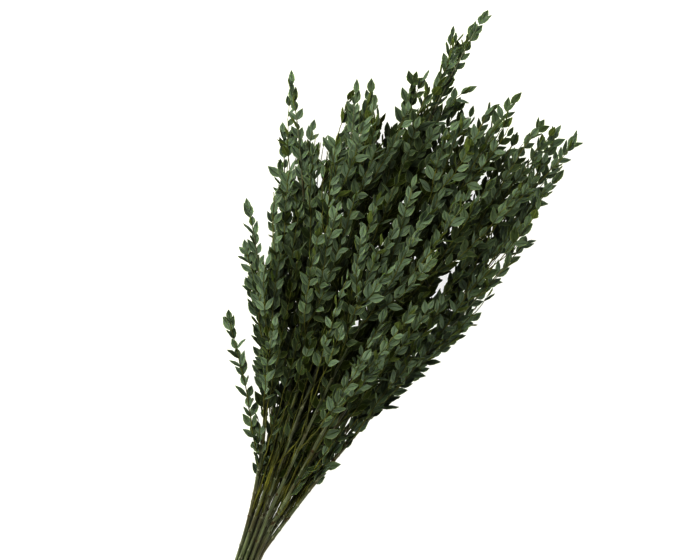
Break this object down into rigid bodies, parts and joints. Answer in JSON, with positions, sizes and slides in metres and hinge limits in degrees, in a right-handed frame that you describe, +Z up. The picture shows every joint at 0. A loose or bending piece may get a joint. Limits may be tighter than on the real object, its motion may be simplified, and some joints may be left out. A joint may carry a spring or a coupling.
{
  "type": "dried small-leaved gum bunch",
  "caption": "Tied bunch of dried small-leaved gum stems with opposite leaves on side shoots, lying on its side.",
  "frame": {"origin": "on the table under the middle of the bunch's plan", "axes": "+Y from the cut ends to the leafy tips, +X to the right seen from above, +Z up off the table"},
  "size_m": [0.2962, 0.6864, 0.1705],
  "materials": {
    "dried_gum": "preserved leaf, dark grey-green, matt",
    "rubber_band": "natural rubber, satin"
  },
  "bodies": {
    "root": {"leafy_stem_01": "dried_gum", "leafy_stem_02": "dried_gum", "leafy_stem_03": "dried_gum", "leafy_stem_04": "dried_gum", "leafy_stem_05": "dried_gum", "leafy_stem_06": "dried_gum", "leafy_stem_07": "dried_gum", "leafy_stem_08": "dried_gum", "leafy_stem_09": "dried_gum", "leafy_stem_10": "dried_gum", "leafy_stem_11": "dried_gum", "leafy_stem_12": "dried_gum", "leafy_stem_13": "dried_gum", "tie": "rubber_band"}
  },
  "joints": []
}
